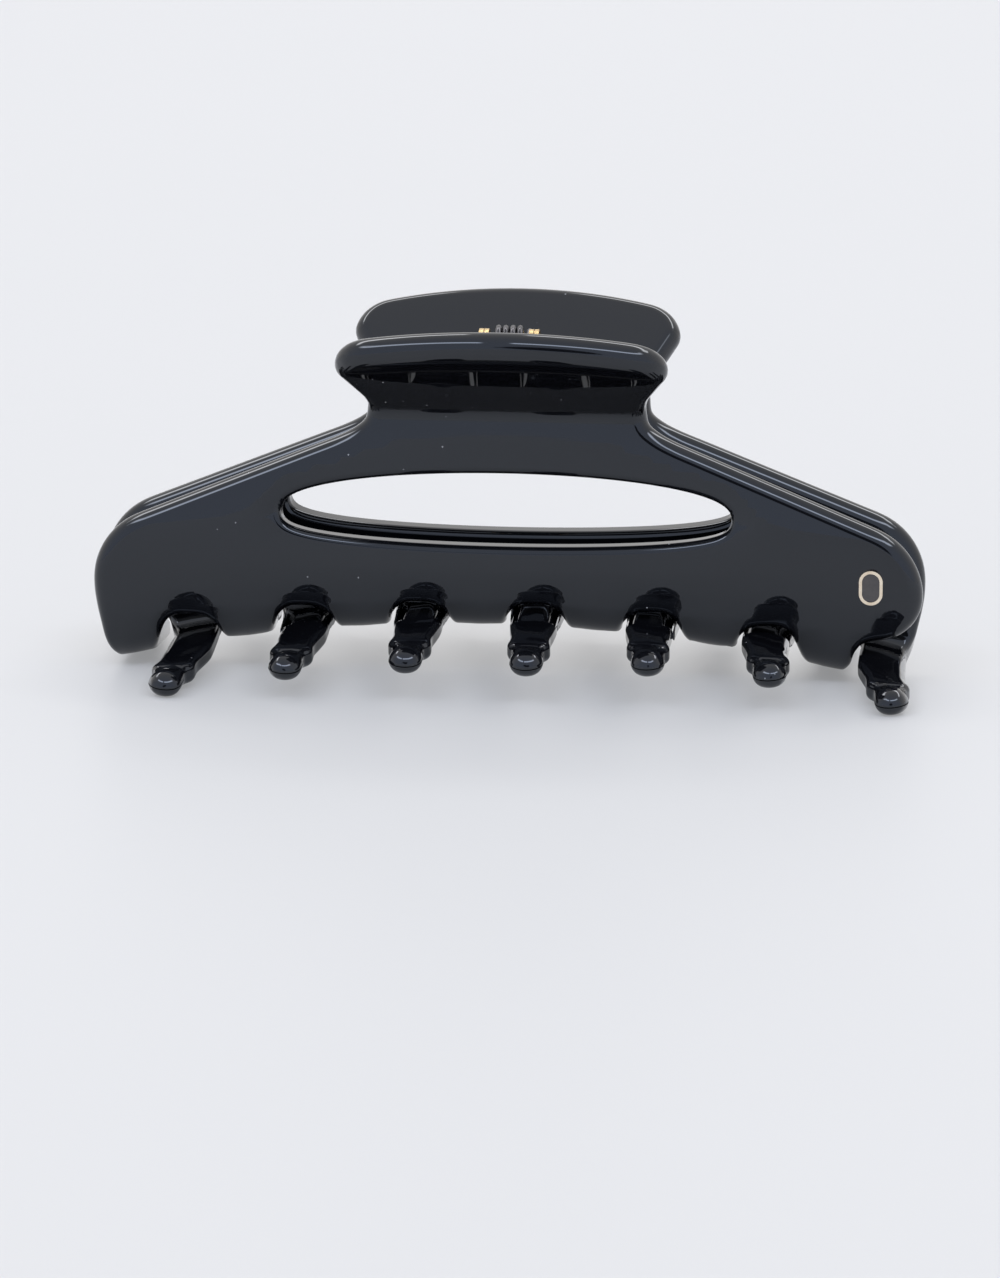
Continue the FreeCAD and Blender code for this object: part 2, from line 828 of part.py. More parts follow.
def make_spring():
    """Torsion spring round the pin, one leg on each leaf."""
    radius = dim("coil_radius")
    wire = dim("wire_radius")
    pitch = dim("coil_pitch")
    leg = dim("leg_length")
    to_face = -CORNER.dot(TAB_IN) - HALF_THICK
    to_leaf = to_face - dim("leaf_thickness") - wire - dim("leg_gap")
    lean = math.asin(to_leaf / math.hypot(radius, leg)) - math.atan2(radius, leg)
    leg_angle = FLARE + math.pi / 2 + lean
    first = leg_angle + math.pi / 2
    last = math.pi - first + 2 * math.pi
    sweep = last - first + 2 * math.pi * dim("coil_turns")
    height = pitch * sweep / (2 * math.pi)
    helix = Part.makeHelix(pitch, height, radius)
    profile = Part.Wire(Part.makeCircle(wire, Vector(radius, 0, 0), Vector(0, 1, 0)))
    coil = Part.Wire(helix).makePipeShell([profile], True, True)
    to_axis = Rotation(Vector(0, 1, 0), Vector(0, 0, 1), Vector(1, 0, 0), "XYZ")
    start_turn = Rotation(Vector(1, 0, 0), math.degrees(first))
    coil.Placement = Placement(Vector(-height / 2, 0, 0), start_turn.multiply(to_axis))
    legs = []
    for end, angle, sign in ((-1, first, -1), (1, first + sweep, 1)):
        root = Vector(end * height / 2, radius * math.cos(angle), radius * math.sin(angle))
        along = Vector(0, -math.sin(angle), math.cos(angle)) * sign
        legs.append(Part.makeCylinder(wire, leg, root, along))
        legs.append(Part.makeSphere(wire, root))
        legs.append(Part.makeSphere(wire, root + along * leg))
    solid = coil.multiFuse(legs)
    spring = add_shape("spring", solid.Solids[0] if len(solid.Solids) == 1 else solid)
    spring.Label = "torsion_spring"
    spring.Placement = FRONT
    return spring


def make_badge():
    """A plain pill-shaped metal frame with a dark field, no mark on it."""
    outer = badge_blank(
        "badge_outer", "0", "dimensions.badge_thickness", "-dimensions.badge_seat"
    )
    well = badge_blank(
        "badge_well", "dimensions.badge_rim", "dimensions.badge_thickness", "0"
    )
    frame = cut("badge_rim", outer, well)
    frame.Label = "badge_frame"
    frame.Placement = FRONT
    field = badge_blank(
        "badge_field",
        "dimensions.badge_rim",
        "(dimensions.badge_thickness - dimensions.badge_seat) * dimensions.badge_fill",
        "0",
    )
    field.Label = "badge_enamel"
    field.Placement = FRONT
    return [frame, field]


running = "dimensions.pin_radius + dimensions.running_clearance"
subparts = [
    front_jaw,
    back_jaw,
    make_leaf("front", "front_hinge_leaf", "front_ear_out", "dimensions.pin_radius", FRONT),
    make_leaf("back", "back_hinge_leaf", "back_ear_out", running, BACK),
    make_screws("front", "front_leaf_screws", FRONT),
    make_screws("back", "back_leaf_screws", BACK),
    make_pin(),
    make_cap(),
    make_spring(),
] + make_badge()

# -------------------------------------------------------- checks and output

doc.recompute()
for item in doc.Objects:
    if "Invalid" in item.State or "Error" in item.State:
        raise RuntimeError("%s did not compute: %s" % (item.Name, item.State))
for item in subparts:
    if item.Shape.isNull() or not item.Shape.isValid():
        raise RuntimeError("%s has no valid shape" % item.Label)
for item in subparts:
    item.Shape.exportStep("parts/%s.step" % item.Label)
    box = item.Shape.BoundBox
    print(
        "%-18s solids %d  volume %9.2f  x %7.2f %7.2f  y %7.2f %7.2f  z %7.2f %7.2f"
        % (
            item.Label, len(item.Shape.Solids), item.Shape.Volume,
            box.XMin, box.XMax, box.YMin, box.YMax, box.ZMin, box.ZMax,
        )
    )
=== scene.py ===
import json
import math

import bpy
import numpy as np
from mathutils import Matrix, Vector
from mathutils.geometry import delaunay_2d_cdt


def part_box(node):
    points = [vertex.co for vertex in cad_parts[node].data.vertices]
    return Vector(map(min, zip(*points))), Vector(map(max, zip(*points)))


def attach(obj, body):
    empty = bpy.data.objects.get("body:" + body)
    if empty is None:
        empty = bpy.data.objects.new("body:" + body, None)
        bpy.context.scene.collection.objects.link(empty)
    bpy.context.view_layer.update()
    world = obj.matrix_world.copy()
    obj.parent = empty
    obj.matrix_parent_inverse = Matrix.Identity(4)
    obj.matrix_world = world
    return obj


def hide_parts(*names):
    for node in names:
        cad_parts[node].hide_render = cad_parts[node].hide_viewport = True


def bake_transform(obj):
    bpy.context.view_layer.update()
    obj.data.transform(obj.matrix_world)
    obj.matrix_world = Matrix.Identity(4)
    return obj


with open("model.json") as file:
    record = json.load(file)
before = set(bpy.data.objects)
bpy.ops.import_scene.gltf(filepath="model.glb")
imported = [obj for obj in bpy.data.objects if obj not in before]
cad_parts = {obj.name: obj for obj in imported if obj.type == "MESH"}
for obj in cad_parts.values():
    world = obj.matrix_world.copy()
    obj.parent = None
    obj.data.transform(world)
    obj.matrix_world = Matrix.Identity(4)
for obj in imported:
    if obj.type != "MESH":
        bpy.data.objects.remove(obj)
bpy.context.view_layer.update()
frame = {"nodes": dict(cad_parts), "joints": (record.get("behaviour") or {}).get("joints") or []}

# Lengths are in millimetres until a mesh is written. Heights are measured from
# the hinge pin's axis, and s is the distance along the bent sheet from the top
# of the thumb tab.
MM = 0.001
PIN_HEIGHT = frame["joints"][0]["pos_m"][2] / MM
HALF_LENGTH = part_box("front_jaw")[1].x / MM

# The sheet: half its thickness, how far its edges are rounded, and the broad
# band along every edge that polishing lowers a little.
HALF_THICK = 2.0
EDGE_ROUND = 1.8
SLOT_ROUND = 1.0
CLAW_ROUND = 0.95
NOSE_ROUND = 1.4
PILLOW_REACH = 5.0
PILLOW_DROP = 0.16

# The side view, from the thumb tab down to the claws' noses. The corner is where
# the tab's middle line would meet the panel's if the neck weren't rounded.
CORNER_OUT = 2.95
CORNER_DROP = 6.75
FLARE = math.radians(51.2)
TILT = math.radians(6.0)
TAB_LENGTH = 17.9
NECK_RADIUS = 4.0
PANEL_STRAIGHT = 15.4
BOW_RADIUS = 40.0
BOW_TURN = math.radians(14.0)
BOW_TO_CURL = 0.2
CURL_RADIUS = 4.0
FINGER_RADIUS = 200.0
FINGER_HALF = 1.55
NOSE_HALF = 1.5
REACH = 20.0

# The outline seen from the front. NECK_CURVE leads from the neck into the arm
# and holds distances out from the neck's side and heights below the pin.
TAB_HALF = 21.8
TAB_CROWN = 66.0
TAB_CORNER = 5.6
NECK_HALF = 18.3
NECK_CURVE = [(0.25, 8.7), (1.0, 9.6), (2.4, 10.55), (4.4, 11.5), (6.9, 12.5)]
ARM_SLOPE = math.radians(22.6)
ARM_END_RADIUS = 9.8
ARM_END_DROP = 31.2
SLOT_HALF = 29.8
SLOT_TOP = 15.8
SLOT_BOTTOM = 25.3
SLOT_END = 21.2
ROOT_FILLET = 3.0
LEFT_END = [(-53.3, 40.0), (-53.85, 38.4), (-54.65, 34.9), (-54.95, 33.0)]

# The claws and the gaps between them. GAP_BELL is the side of a gap's top, as
# half widths and distances below its crest.
PITCH = 15.3
CLAWS = 7
GAP_WIDTH = 8.3
GAP_TOP = 32.8
GAP_FALL = 0.0018
GAP_BELL = [(4.75, 4.2), (4.3, 3.0), (3.85, 1.8), (3.35, 0.9), (2.5, 0.3), (1.5, 0.03)]
ARCH_FALL = 0.0024
ARCH_CENTRE = -3.0
NOSE_WIDE = 2.25
FAN_OUT = 0.045
FAN_START = 7.0

# The height of each claw's underside at its nose, below the pin, and the half
# widths of a claw at places from front to back.
NOSE_DROPS = [43.6, 40.4, 39.3, 39.7, 39.7, 41.0, 43.6]
CLAW_SIDES = [
    (-1.4, 2.95), (1.0, 3.05), (4.0, 3.1), (7.0, 3.1), (9.5, 2.85), (11.3, 2.6), (12.8, 2.7),
    (13.8, 2.9), (14.5, 2.85), (14.85, 2.4), (15.15, 1.95), (15.5, 1.95), (16.2, 2.15),
]
NOTCH_REACH = 15.3
NOTCH_DEPTH = 0.32
NOTCH_WIDTH = 0.45
NOSE_DOME = 0.5
NOSE_FLAT = 4.6

# Mesh spacing, and the step of the table that is searched along the sheet.
OUTER_SPACING = 0.42
SLOT_SPACING = 0.5
EDGE_RINGS = (75, 60, 45, 30, 15, 0)
S_LIMIT = 85.0
S_STEP = 0.05

# The spring, and the leaf that each of its legs lies on.
COIL_RADIUS = 2.75
WIRE_RADIUS = 0.45
COIL_PITCH = 0.95
COIL_TURNS = 4
COIL_POINTS = 190
LEG_LENGTH = 7.0
LEG_POINTS = 10
LEAF_THICK = 0.7
LEG_PLAY = 0.03

# Light and camera. One of the ring's gaps lies at X = -RING_GAP_X, and
# CAMERA_WAY points from the clip to the camera.
RING_STRENGTH = 6.0
RING_GAP_X = 0.1
CAMERA_WAY = (0.098, -0.965, 0.242)
CAMERA_ELEVATION = math.radians(14.0)
CAMERA_TURN = math.radians(5.8)
CAMERA_DISTANCE = 813
CAMERA_ACROSS = 1.25
CAMERA_UP = 37.15
CAMERA_LENS = 174.1

NECK_TURN = FLARE + TILT
NECK_TANGENT = NECK_RADIUS * math.tan(NECK_TURN / 2)
CLAW_CENTRES = [(-(CLAWS - 1) / 2 - 0.25 + i) * PITCH for i in range(CLAWS)]


# ------------------------------------------------------------ the bent sheet


def arch_drop(x):
    return ARCH_FALL * (x - ARCH_CENTRE) ** 2


def nose_drop_at(x):
    """Constant across each claw and blended in the gaps between them."""
    knots = []
    values = []
    for centre, drop in zip(CLAW_CENTRES, NOSE_DROPS):
        knots += [centre - NOSE_FLAT, centre + NOSE_FLAT]
        values += [drop, drop]
    return np.interp(x, knots, values)


def walk(y, z, heading, length, curvature):
    """A point moved along a line or an arc, as arrays."""
    if abs(curvature) < 1e-9:
        return y + length * np.cos(heading), z + length * np.sin(heading), heading + 0 * length
    end = heading + length * curvature
    return (
        y + (np.sin(end) - np.sin(heading)) / curvature,
        z - (np.cos(end) - np.cos(heading)) / curvature,
        end,
    )


FIXED_PARTS = [
    (TAB_LENGTH - NECK_TANGENT, 0.0),
    (NECK_RADIUS * NECK_TURN, -1 / NECK_RADIUS),
    (PANEL_STRAIGHT - NECK_TANGENT, 0.0),
    (BOW_RADIUS * BOW_TURN, 1 / BOW_RADIUS),
]
START = (
    -CORNER_OUT - math.sin(FLARE) * TAB_LENGTH,
    -CORNER_DROP + math.cos(FLARE) * TAB_LENGTH,
    FLARE - math.pi / 2,
)
FIXED_LENGTH = sum(part[0] for part in FIXED_PARTS)
NECK_START = FIXED_PARTS[0][0]
NECK_END = NECK_START + FIXED_PARTS[1][0]


def bow_end():
    y, z, heading = START
    for length, bend in FIXED_PARTS:
        y, z, heading = walk(y, z, heading, length, bend)
    return y, z, heading


def solve_finger(x):
    """The slope and length that bring a claw's nose to its reach and height."""
    y, z, heading = bow_end()
    y, z, heading = walk(y, z, heading, arch_drop(x) + BOW_TO_CURL, 0.0)
    slope, length = 0.1, 20.0
    for _ in range(80):
        turn = -slope - heading
        curl_end = walk(y, z, heading, turn * CURL_RADIUS, 1 / CURL_RADIUS)
        end_y, end_z = walk(*curl_end, length, -1 / FINGER_RADIUS)[:2]
        # each correction falls short of the error, so that the search settles
        length += (REACH - NOSE_HALF - end_y) * 0.9
        slope += (end_z - NOSE_HALF + float(nose_drop_at(x))) / 30
    return slope, length


STATION_X = np.linspace(-HALF_LENGTH - 1, HALF_LENGTH + 1, 225)
SOLVED = np.array([solve_finger(x) for x in STATION_X])


def middle(x, s):
    """Middle surface: y, z, heading and half thickness at arrays x and s."""
    x, s = np.broadcast_arrays(np.asarray(x, float), np.asarray(s, float))
    slope = np.interp(x, STATION_X, SOLVED[:, 0])
    bow_heading = bow_end()[2]
    curl = (-slope - bow_heading) * CURL_RADIUS
    parts = FIXED_PARTS + [
        (arch_drop(x) + BOW_TO_CURL, 0.0),
        (curl, 1 / CURL_RADIUS),
        (60.0, -1 / FINGER_RADIUS),
    ]
    y, z, heading = (value + 0 * s for value in START)
    left = s.copy()
    for number, (length, bend) in enumerate(parts):
        step = np.minimum(left, length)
        if number > 0:
            step = np.maximum(step, 0)
        y, z, heading = walk(y, z, heading, step, bend)
        left = left - step
    curl_start = FIXED_LENGTH + arch_drop(x) + BOW_TO_CURL
    share = np.clip((s - curl_start) / curl, 0, 1)
    far = np.clip((s - curl_start - curl) / np.interp(x, STATION_X, SOLVED[:, 1]), 0, 1)
    half = HALF_THICK + (FINGER_HALF - HALF_THICK) * share + (NOSE_HALF - FINGER_HALF) * far
    return y, z, heading, half


S_SAMPLES = np.linspace(0, S_LIMIT, round(S_LIMIT / S_STEP) + 1)


def s_at_drop(x, drop):
    """Where the panel at x is so far below the pin."""
    z = middle(x, S_SAMPLES)[1]
    first = int(NECK_END / S_STEP)
    last = int(np.argmin(z[: int((FIXED_LENGTH + 14) / S_STEP)]))
    return float(np.interp(drop, -z[first:last], S_SAMPLES[first:last]))


def s_at_reach(x, reach):
    """Where the claw at x is so far towards the other half."""
    y = middle(x, S_SAMPLES)[0]
    first = int((FIXED_LENGTH + arch_drop(x)) / S_STEP)
    return float(np.interp(reach, y[first:], S_SAMPLES[first:]))


# --------------------------------------------------- the outline, laid flat


def arc_points(centre, radius, start, end, count):
    """Points on an arc, its angles in degrees."""
    return [
        (
            centre[0] + radius * math.cos(math.radians(start + (end - start) * i / count)),
            centre[1] + radius * math.sin(math.radians(start + (end - start) * i / count)),
        )
        for i in range(count + 1)
    ]


def tab_side():
    """Right half of the tab from its top middle to the neck."""
    corner_x = TAB_HALF - TAB_CORNER
    slope = corner_x / (TAB_CROWN - TAB_CORNER)
    points = []
    for i in range(12):
        x = TAB_CROWN * slope * i / 12
        points.append((x, TAB_CROWN - math.sqrt(TAB_CROWN**2 - x * x)))
    centre_s = TAB_CROWN - (TAB_CROWN - TAB_CORNER) * math.sqrt(1 - slope * slope)
    start = -math.degrees(math.acos(slope))
    points += arc_points((corner_x, centre_s), TAB_CORNER, start, 0, 10)
    points.append((NECK_HALF + 0.6, NECK_START - 1.5))
    points.append((NECK_HALF, NECK_START + 1.5))
    return points


def arm_side():
    """Right arm from the neck to the arm's end, as x and drop."""
    end_x = HALF_LENGTH - ARM_END_RADIUS
    points = [(NECK_HALF + out, drop) for out, drop in NECK_CURVE]
    for step in range(0, 67, 6):
        a = math.radians(-90 + math.degrees(ARM_SLOPE) + step)
        x = end_x + ARM_END_RADIUS * math.cos(a)
        points.append((x, ARM_END_DROP + ARM_END_RADIUS * math.sin(a)))
    points.append((HALF_LENGTH, ARM_END_DROP))
    return points


def gap_crest(x):
    return GAP_TOP + GAP_FALL * (x - ARCH_CENTRE) ** 2


def fan(x, y):
    share = max(0.0, (y - FAN_START) / (REACH - FAN_START))
    return x * (1 + FAN_OUT * share)


def claw_points(centre):
    """One claw from its right root round the nose to its left root, x and s."""
    right = []
    left = []
    for y, half in CLAW_SIDES:
        for side, sign in ((right, 1), (left, -1)):
            x = fan(centre, y) + sign * half
            side.append((x, s_at_reach(x, y)))
    nose_y = REACH - NOSE_WIDE
    nose_x = fan(centre, nose_y)
    nose_s = s_at_reach(nose_x, nose_y)
    cap = arc_points((nose_x, nose_s), NOSE_WIDE, 0, 180, 16)
    return right + cap + left[::-1]


def gap_points(gap):
    """The bell-shaped top of a gap from right to left, as x and drop."""
    crest = gap_crest(gap)
    points = [(gap + half, crest + down) for half, down in GAP_BELL]
    mirrored = [(2 * gap - x, drop) for x, drop in points[::-1]]
    return points + [(gap, crest)] + mirrored


def right_end():
    """From the right arm's end round its corner to the outermost claw."""
    side = CLAW_CENTRES[-1] + PITCH / 2 - GAP_WIDTH / 2
    crest = gap_crest(side)
    rise = crest - ARM_END_DROP
    points = []
    for angle in (15, 30, 45, 60, 75, 90):
        a = math.radians(angle)
        points.append((HALF_LENGTH - rise + rise * math.cos(a), ARM_END_DROP + rise * math.sin(a)))
    points.append(((HALF_LENGTH - rise + side + ROOT_FILLET) / 2, crest))
    for angle in (0, 30, 60, 90):
        a = math.radians(angle)
        x = side + ROOT_FILLET - ROOT_FILLET * math.sin(a)
        points.append((x, crest + ROOT_FILLET - ROOT_FILLET * math.cos(a)))
    return points


def flat(points):
    """Panel points given as x and drop, turned into x and s."""
    return [(x, s_at_drop(x, drop)) for x, drop in points]


def jaw_outline():
    """The whole outline of a jaw, from the tab's top middle round to the right."""
    tab = tab_side()
    arm = flat(arm_side())
    points = tab + arm + flat(right_end())
    for number in range(CLAWS - 1, -1, -1):
        centre = CLAW_CENTRES[number]
        points += claw_points(centre)
        if number > 0:
            points += flat(gap_points(centre - PITCH / 2))
    points += flat(LEFT_END)
    points += [(-x, s) for x, s in arm[::-1]] + [(-x, s) for x, s in tab[:0:-1]]
    return points


def slot_outline():
    """The slot, a little fuller than an ellipse above and much fuller below."""
    points = []
    for step in range(96):
        angle = 2 * math.pi * step / 96
        x = SLOT_HALF * math.cos(angle)
        up = math.sin(angle)
        if up > 0:
            drop = SLOT_END - (SLOT_END - SLOT_TOP) * up**0.85
        else:
            drop = SLOT_END + (SLOT_BOTTOM - SLOT_END) * abs(up) ** 0.62
        points.append((x, drop))
    return flat(points)


def resample(points, spacing, smoothing):
    """Even spacing round a closed outline, then its corners relaxed."""
    p = np.array(points + [points[0]])
    step = np.hypot(*(p[1:] - p[:-1]).T)
    keep = np.concatenate([[True], step > 1e-6])
    p = p[keep]
    along = np.concatenate([[0], np.cumsum(np.hypot(*(p[1:] - p[:-1]).T))])
    count = int(along[-1] / spacing)
    at = np.arange(count) * along[-1] / count
    q = np.stack([np.interp(at, along, p[:, 0]), np.interp(at, along, p[:, 1])], 1)
    for _ in range(smoothing):
        q = q * 0.5 + (np.roll(q, 1, 0) + np.roll(q, -1, 0)) * 0.25
    return q


def distance_to(points, outlines):
    """Distance to the nearest outline and the unit direction away from it."""
    best = np.full(len(points), 1e9)
    away = np.zeros((len(points), 2))
    for line in outlines:
        d = np.roll(line, -1, 0) - line
        size = (d * d).sum(1)
        for chunk in range(0, len(points), 2000):
            p = points[chunk : chunk + 2000]
            rel = p[:, None, :] - line[None]
            t = np.clip((rel * d[None]).sum(2) / size[None], 0, 1)
            off = rel - t[..., None] * d[None]
            dist = np.sqrt((off * off).sum(2))
            pick = dist.argmin(1)
            rows = np.arange(len(p))
            near = dist[rows, pick]
            better = near < best[chunk : chunk + 2000]
            index = np.nonzero(better)[0] + chunk
            best[index] = near[better]
            away[index] = off[rows, pick][better] / np.maximum(near[better], 1e-9)[:, None]
    return best, away


def inside(points, line):
    """Which points a closed outline surrounds, by counting crossings."""
    result = np.zeros(len(points), bool)
    for (x0, y0), (x1, y1) in zip(line, np.roll(line, -1, 0)):
        if y0 == y1:
            continue
        crosses = (points[:, 1] < y0) != (points[:, 1] < y1)
        x = x0 + (points[:, 1] - y0) * (x1 - x0) / (y1 - y0)
        result ^= crosses & (points[:, 0] < x)
    return result


def outward(line):
    """Unit direction out of the sheet at each outline point."""
    t = np.roll(line, -1, 0) - np.roll(line, 1, 0)
    t = t / np.hypot(*t.T)[:, None]
    return np.stack([t[:, 1], -t[:, 0]], 1)


def round_at(points, slot):
    """Radius of the edges: nearly a bullnose, tighter round the slot and claws."""
    to_curl = points[:, 1] - FIXED_LENGTH - arch_drop(points[:, 0])
    radius = np.interp(to_curl, [-5.0, 1.0], [EDGE_ROUND, CLAW_ROUND])
    reach = middle(points[:, 0], points[:, 1])[0]
    on_nose = np.interp(reach, [NOTCH_REACH, NOTCH_REACH + 1.2], [0, 1]) * (to_curl > 0)
    radius = radius + (NOSE_ROUND - radius) * on_nose
    return np.where(distance_to(points, [slot])[0] < 3.0, SLOT_ROUND, radius)


def sheet_points():
    """The two outlines, and every mesh point: rims, rounded edges and inside."""
    outer = resample(jaw_outline(), OUTER_SPACING, 3)
    slot = resample(slot_outline(), SLOT_SPACING, 1)
    outlines = [outer, slot]
    bands = [np.concatenate(outlines)]
    for degrees in EDGE_RINGS:
        for line in outlines:
            inset = round_at(line, slot) * (1 - math.sin(math.radians(degrees)))
            ring = line - outward(line) * inset[:, None]
            # a ring's points that come nearer to another edge are left out
            near = distance_to(ring, outlines)[0]
            bands.append(ring[near > inset * 0.97 - 0.004])
    rows = list(np.arange(0.8, NECK_START - 0.3, 1.6))
    rows += list(np.linspace(NECK_START, NECK_END, 12))
    rows += list(np.arange(NECK_END + 1.2, FIXED_LENGTH, 1.1))
    grid = []
    columns = np.arange(-HALF_LENGTH, HALF_LENGTH + 0.1, 1.25)
    for row in rows:
        grid += [(x, row) for x in columns]
    fine = np.arange(-HALF_LENGTH, HALF_LENGTH + 0.1, 0.85)
    for step in np.arange(0, 32, 0.55):
        grid += [(x, FIXED_LENGTH + arch_drop(x) * min(1, step / 1.1) + step) for x in fine]
    grid = np.array(grid)
    grid = grid[inside(grid, outer) & ~inside(grid, slot)]
    near = distance_to(grid, outlines)[0]
    bands.append(grid[near > round_at(grid, slot) + 0.3])
    return outlines, np.concatenate(bands)


def crease(x, s):
    """The groove where a claw's shoulder meets its nose, and the nose's dome."""
    y = middle(x, s)[0]
    lift = -NOTCH_DEPTH * np.exp(-(((y - NOTCH_REACH) / NOTCH_WIDTH) ** 2))
    nose = REACH - NOSE_WIDE
    for centre in CLAW_CENTRES:
        across = ((x - fan(centre, nose)) ** 2 + (y - nose) ** 2) / NOSE_WIDE**2
        lift = lift + NOSE_DOME * np.clip(1 - across, 0, 1) ** 1.5
    return np.where(s > FIXED_LENGTH + 6, lift, 0.0)


def surface(points, offset):
    """Points off the middle surface by the offset, and the half thickness there."""
    y, z, heading, half = middle(points[:, 0], points[:, 1])
    normal = np.stack([0 * y, -np.sin(heading), np.cos(heading)], 1)
    place = np.stack([points[:, 0], y, z], 1)
    return place + normal * offset[:, None], half


def triangulate(outlines, points):
    """The flat sheet's points and its triangles, all counter-clockwise."""
    edges = []
    base = 0
    for line in outlines:
        count = len(line)
        edges += [(base + i, base + (i + 1) % count) for i in range(count)]
        base += count
    result = delaunay_2d_cdt([Vector(p) for p in points], edges, [], 0, 1e-6)
    flat_points = np.array([tuple(v) for v in result[0]])
    triangles = np.array(result[2])
    centres = flat_points[triangles].mean(1)
    keep = inside(centres, outlines[0]) & ~inside(centres, outlines[1])
    triangles = triangles[keep]
    p, q, r = (flat_points[triangles[:, i]] for i in range(3))
    area = (q[:, 0] - p[:, 0]) * (r[:, 1] - p[:, 1]) - (q[:, 1] - p[:, 1]) * (r[:, 0] - p[:, 0])
    triangles = triangles[np.abs(area) > 1e-9]
    area = area[np.abs(area) > 1e-9]
    triangles[area < 0] = triangles[area < 0][:, ::-1]
    used = np.unique(triangles)
    renumber = np.full(len(flat_points), -1)
    renumber[used] = np.arange(len(used))
    return flat_points[used], renumber[triangles]


def rim_edges(triangles):
    """The edges that only one triangle has, each in that triangle's direction."""
    sides = dict.fromkeys(edge for a, b, c in triangles for edge in ((a, b), (b, c), (c, a)))
    return [edge for edge in sides if (edge[1], edge[0]) not in sides]


def build_sheet():
    """Vertices, faces and smooth normals of one jaw, in the front position."""
    outlines, points = sheet_points()
    flat_points, triangles = triangulate(outlines, points)
    rim = rim_edges(triangles)
    near, away = distance_to(flat_points, outlines)
    out = np.zeros_like(flat_points)
    for a, b in rim:
        d = flat_points[b] - flat_points[a]
        side = np.array([d[1], -d[0]]) / np.hypot(*d)
        out[a] += side
        out[b] += side
    on_rim = np.zeros(len(flat_points), bool)
    on_rim[np.unique(np.array(rim))] = True
    near[on_rim] = 0
    radius = round_at(flat_points, outlines[1])
    sine = np.clip((radius - near) / radius, 0, 1)
    cosine = np.sqrt(1 - sine * sine)
    away[on_rim] = -out[on_rim] / np.hypot(*out[on_rim].T)[:, None]

    step = 0.01
    x, s = flat_points.T
    here, half = surface(flat_points, 0 * x)
    # how the bent surface runs for a small step across the sheet and along it
    along_x = (surface(flat_points + [step, 0], 0 * x)[0] - here) / step
    along_s = (surface(flat_points + [0, step], 0 * x)[0] - here) / step
    normal = np.cross(along_x, along_s)
    normal /= np.linalg.norm(normal, axis=1)[:, None]
    lift = crease(x, s)
    lift_s = (crease(x, s + step) - lift) / step
    lift_x = (crease(x + step, s) - lift) / step
    fade = np.clip(near / radius, 0, 1)
    depth = np.clip(1 - near / PILLOW_REACH, 0, 1)
    offset = half - radius + radius * cosine - PILLOW_DROP * depth**2
    pillow_slope = 2 * PILLOW_DROP * depth / PILLOW_REACH
    edge_way = -(along_x * away[:, :1] + along_s * away[:, 1:])
    edge_way /= np.maximum(np.linalg.norm(edge_way, axis=1), 1e-9)[:, None]

    top = surface(flat_points, offset + lift * fade)[0]
    bottom = surface(flat_points, -offset)[0]
    edge_share = (sine + pillow_slope * cosine)[:, None]
    top_normal = normal * cosine[:, None] + edge_way * edge_share
    top_normal = top_normal - along_s * (lift_s * fade * cosine)[:, None]
    top_normal = top_normal - along_x * (lift_x * fade * cosine)[:, None]
    bottom_normal = -normal * cosine[:, None] + edge_way * edge_share
    count = len(flat_points)
    faces = [tuple(t) for t in triangles]
    faces += [(c + count, b + count, a + count) for a, b, c in triangles]
    faces += [(a + count, b + count, b, a) for a, b in rim]
    vertices = np.concatenate([top, bottom]) + [0, 0, PIN_HEIGHT]
    normals = np.concatenate([top_normal, bottom_normal])
    normals /= np.linalg.norm(normals, axis=1)[:, None]
    return vertices, faces, normals


def add_mesh(name, vertices, faces, material, normals=None):
    """A smooth-shaded object from points in millimetres."""
    mesh = bpy.data.meshes.new(name)
    mesh.from_pydata([tuple(v) for v in np.asarray(vertices) * MM], [], faces)
    mesh.update()
    mesh.shade_smooth()
    if normals is not None:
        mesh.normals_split_custom_set_from_vertices([tuple(n) for n in normals])
    mesh.materials.append(material)
    obj = bpy.data.objects.new(name, mesh)
    bpy.context.scene.collection.objects.link(obj)
    return obj


# ----------------------------------------------------------------- materials


# A mix node's colour sockets, which share their names with its other sockets.
MIX_FIRST, MIX_SECOND, MIX_RESULT = 6, 7, 2


def set_range(node, low, high, to_low, to_high):
    node.inputs["From Min"].default_value = low
    node.inputs["From Max"].default_value = high
    node.inputs["To Min"].default_value = to_low
    node.inputs["To Max"].default_value = to_high


class Nodes:
    """A material's node tree with short calls."""

    def __init__(self, name):
        self.material = bpy.data.materials.new(name)
        self.material.use_nodes = True
        self.tree = self.material.node_tree
        self.shader = self.tree.nodes["Principled BSDF"]
        self.place = self.add("ShaderNodeTexCoord").outputs["Object"]

    def add(self, kind, **values):
        node = self.tree.nodes.new(kind)
        for key, value in values.items():
            if key in node.inputs:
                node.inputs[key].default_value = value
            else:
                setattr(node, key, value)
        return node

    def link(self, source, target):
        self.tree.links.new(source, target)

    def noise(self, scale, detail=2.0):
        node = self.add("ShaderNodeTexNoise", Scale=scale, Detail=detail)
        self.link(self.place, node.inputs["Vector"])
        return node.outputs["Fac"]

    def spread(self, source, low, high, to_low, to_high):
        node = self.add("ShaderNodeMapRange")
        set_range(node, low, high, to_low, to_high)
        self.link(source, node.inputs["Value"])
        return node.outputs["Result"]

    def bump(self, height, strength, distance):
        node = self.add("ShaderNodeBump", Strength=strength, Distance=distance)
        self.link(height, node.inputs["Height"])
        self.link(node.outputs["Normal"], self.shader.inputs["Normal"])

    def mix(self, factor, first, second):
        node = self.add("ShaderNodeMix", data_type="RGBA")
        self.link(factor, node.inputs["Factor"])
        node.inputs[MIX_FIRST].default_value = first
        node.inputs[MIX_SECOND].default_value = second
        return node.outputs[MIX_RESULT]


